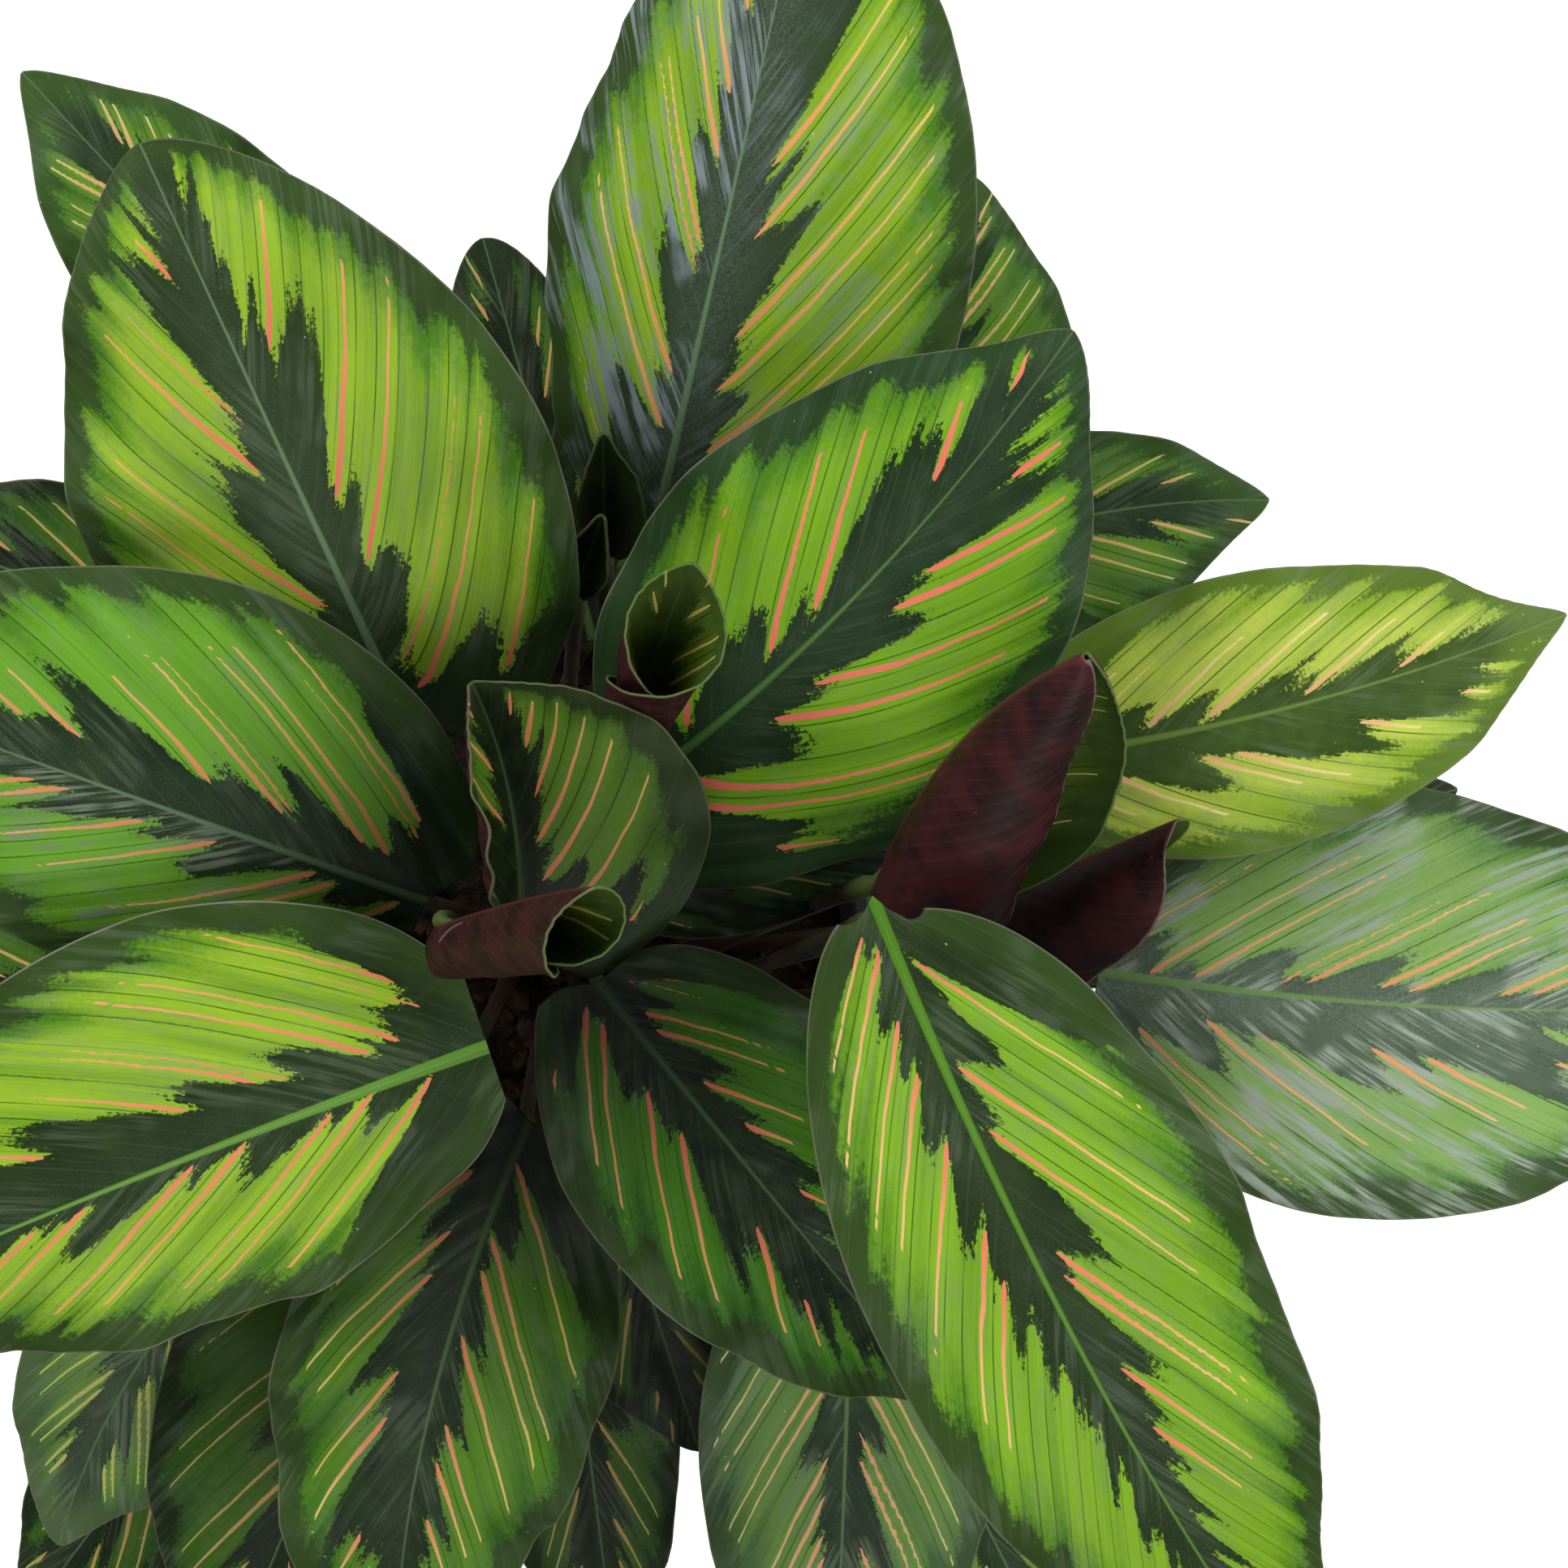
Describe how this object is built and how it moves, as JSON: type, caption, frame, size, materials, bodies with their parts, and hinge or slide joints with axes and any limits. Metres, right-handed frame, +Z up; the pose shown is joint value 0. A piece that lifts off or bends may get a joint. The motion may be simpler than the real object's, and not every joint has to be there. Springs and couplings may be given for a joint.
{
  "type": "potted pinstripe calathea",
  "caption": "Potted prayer plant: broad pinstriped leaves on slender stalks, with furled young leaves, in a tapered nursery pot of soil.",
  "frame": {"origin": "the middle of the pot's underside, where it stands on the surface", "axes": "+Z up along the pot's axis; +Y to the plant's north, which is up in the view from above; +X to its east"},
  "size_m": [0.4994, 0.4514, 0.4322],
  "materials": {
    "pot_plastic": "matte",
    "potting_soil": "matte",
    "pinstripe_leaf": "satin",
    "dark_leaf": "satin",
    "young_leaf": "satin"
  },
  "bodies": {
    "root": {"pot": "pot_plastic", "soil": "potting_soil", "leaf_north": "pinstripe_leaf", "leaf_northeast": "pinstripe_leaf", "leaf_northwest": "pinstripe_leaf", "leaf_west": "pinstripe_leaf", "leaf_southwest": "pinstripe_leaf", "leaf_south_southwest": "pinstripe_leaf", "leaf_south": "pinstripe_leaf", "leaf_southeast": "pinstripe_leaf", "leaf_east": "pinstripe_leaf", "leaf_east_northeast": "pinstripe_leaf", "dark_leaf_northeast": "dark_leaf", "low_leaf_north_northeast": "dark_leaf", "low_leaf_northwest": "dark_leaf", "low_leaf_north": "dark_leaf", "low_leaf_west": "dark_leaf", "low_leaf_far_west": "dark_leaf", "low_leaf_north_northwest": "dark_leaf", "low_leaf_east": "dark_leaf", "low_leaf_southwest": "dark_leaf", "low_leaf_west_southwest": "dark_leaf", "dark_leaf_southwest": "dark_leaf", "dark_leaf_south": "dark_leaf", "low_leaf_south_southeast": "dark_leaf", "low_leaf_south": "dark_leaf", "low_leaf_south_middle": "dark_leaf", "inner_leaf_east": "dark_leaf", "inner_leaf_southeast": "dark_leaf", "young_leaf_middle": "dark_leaf", "bud_north": "young_leaf", "bud_middle": "young_leaf", "rolled_leaf_north": "young_leaf", "rolled_leaf_middle": "young_leaf", "rolled_leaf_east": "young_leaf", "rolled_leaf_southeast": "young_leaf"}
  },
  "joints": []
}
